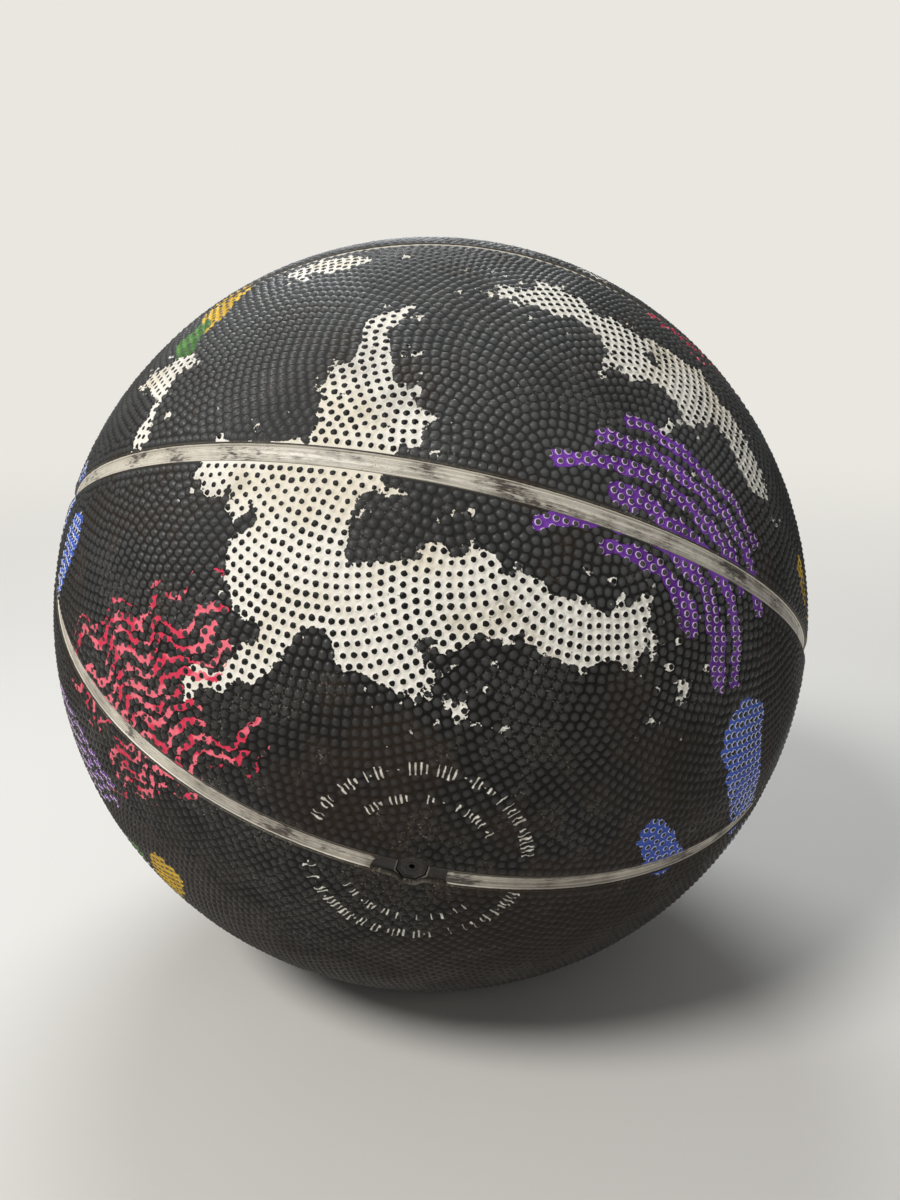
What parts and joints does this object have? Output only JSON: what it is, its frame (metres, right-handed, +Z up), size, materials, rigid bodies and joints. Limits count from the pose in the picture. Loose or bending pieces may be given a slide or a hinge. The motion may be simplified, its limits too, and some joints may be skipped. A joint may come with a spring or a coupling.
{
  "type": "deflated basketball",
  "caption": "Soft, under-inflated basketball: a hollow rubber ball with sunken seam channels and a needle valve, standing on the flat spot that its weight presses into it.",
  "frame": {"origin": "middle of the flat spot, on the surface the ball stands on", "axes": "+Z up; -Y towards the front, where the valve is, low down and a little to the left"},
  "size_m": [0.2398, 0.2398, 0.2349],
  "materials": {
    "cover_rubber": "matt black pebbled rubber, scuffed and dusty, with worn paint on the ground between the pebbles and in the channels",
    "plug_rubber": "smooth black rubber, slightly shiny"
  },
  "bodies": {
    "root": {"ball_shell": "cover_rubber", "valve_plug": "plug_rubber"}
  },
  "joints": []
}
